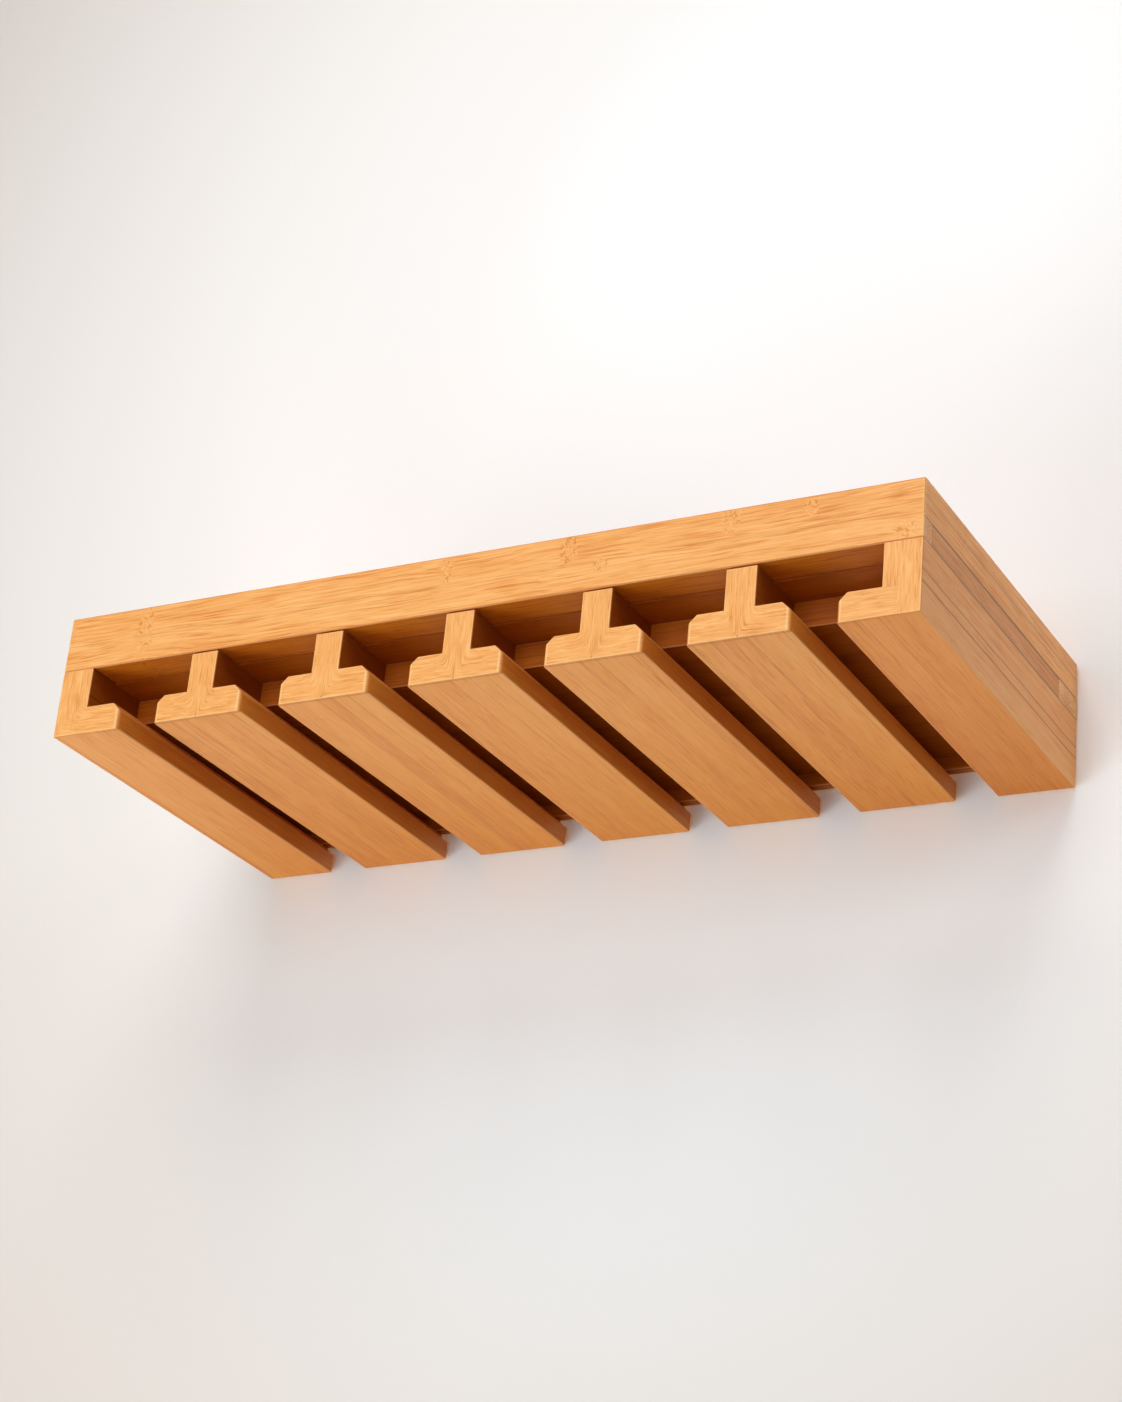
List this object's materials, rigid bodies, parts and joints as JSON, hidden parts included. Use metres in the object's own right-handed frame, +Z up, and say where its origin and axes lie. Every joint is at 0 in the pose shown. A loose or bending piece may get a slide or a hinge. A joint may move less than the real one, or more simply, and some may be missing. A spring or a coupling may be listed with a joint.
{
  "type": "hanging wine glass rack",
  "caption": "Bamboo rack of parallel T-shaped rails under a flat frame: wine glasses slide in from the front and hang upside down by their feet.",
  "frame": {"origin": "middle of the underside, level with the lower faces of the rails", "axes": "+X along the front to the right, +Y from the open front to the closed back, +Z up towards the cabinet that the rack hangs from"},
  "size_m": [0.6, 0.26, 0.085],
  "materials": {
    "bar_bamboo": "satin honey laminated bamboo, long grain",
    "rail_bamboo": "satin honey laminated bamboo, grain along the rail",
    "side_bamboo": "satin brown laminated bamboo in strips",
    "inner_bamboo": "satin darker laminated bamboo, grain across the rack",
    "screw_steel": "zinc-plated steel"
  },
  "bodies": {
    "root": {"front_bar": "bar_bamboo", "rear_rail": "bar_bamboo", "left_side_rail": "side_bamboo", "right_side_rail": "side_bamboo", "left_side_strip": "side_bamboo", "right_side_strip": "side_bamboo", "front_batten": "inner_bamboo", "rear_batten": "inner_bamboo", "left_upright": "rail_bamboo", "right_upright": "rail_bamboo", "left_foot": "rail_bamboo", "right_foot": "rail_bamboo", "rail_stem_1": "rail_bamboo", "rail_stem_2": "rail_bamboo", "rail_stem_3": "rail_bamboo", "rail_stem_4": "rail_bamboo", "rail_stem_5": "rail_bamboo", "rail_foot_1": "rail_bamboo", "rail_foot_2": "rail_bamboo", "rail_foot_3": "rail_bamboo", "rail_foot_4": "rail_bamboo", "rail_foot_5": "rail_bamboo", "channel_board_1": "inner_bamboo", "channel_board_2": "inner_bamboo", "channel_board_3": "inner_bamboo", "channel_board_4": "inner_bamboo", "channel_board_5": "inner_bamboo", "channel_board_6": "inner_bamboo", "rear_stop_1": "inner_bamboo", "rear_stop_2": "inner_bamboo", "rear_stop_3": "inner_bamboo", "rear_stop_4": "inner_bamboo", "rear_stop_5": "inner_bamboo", "rear_stop_6": "inner_bamboo", "screw_1": "screw_steel", "screw_2": "screw_steel", "screw_3": "screw_steel", "screw_4": "screw_steel", "screw_5": "screw_steel", "screw_6": "screw_steel", "screw_7": "screw_steel", "screw_8": "screw_steel", "screw_9": "screw_steel", "screw_10": "screw_steel", "screw_11": "screw_steel", "screw_12": "screw_steel", "screw_13": "screw_steel", "screw_14": "screw_steel"}
  },
  "joints": []
}
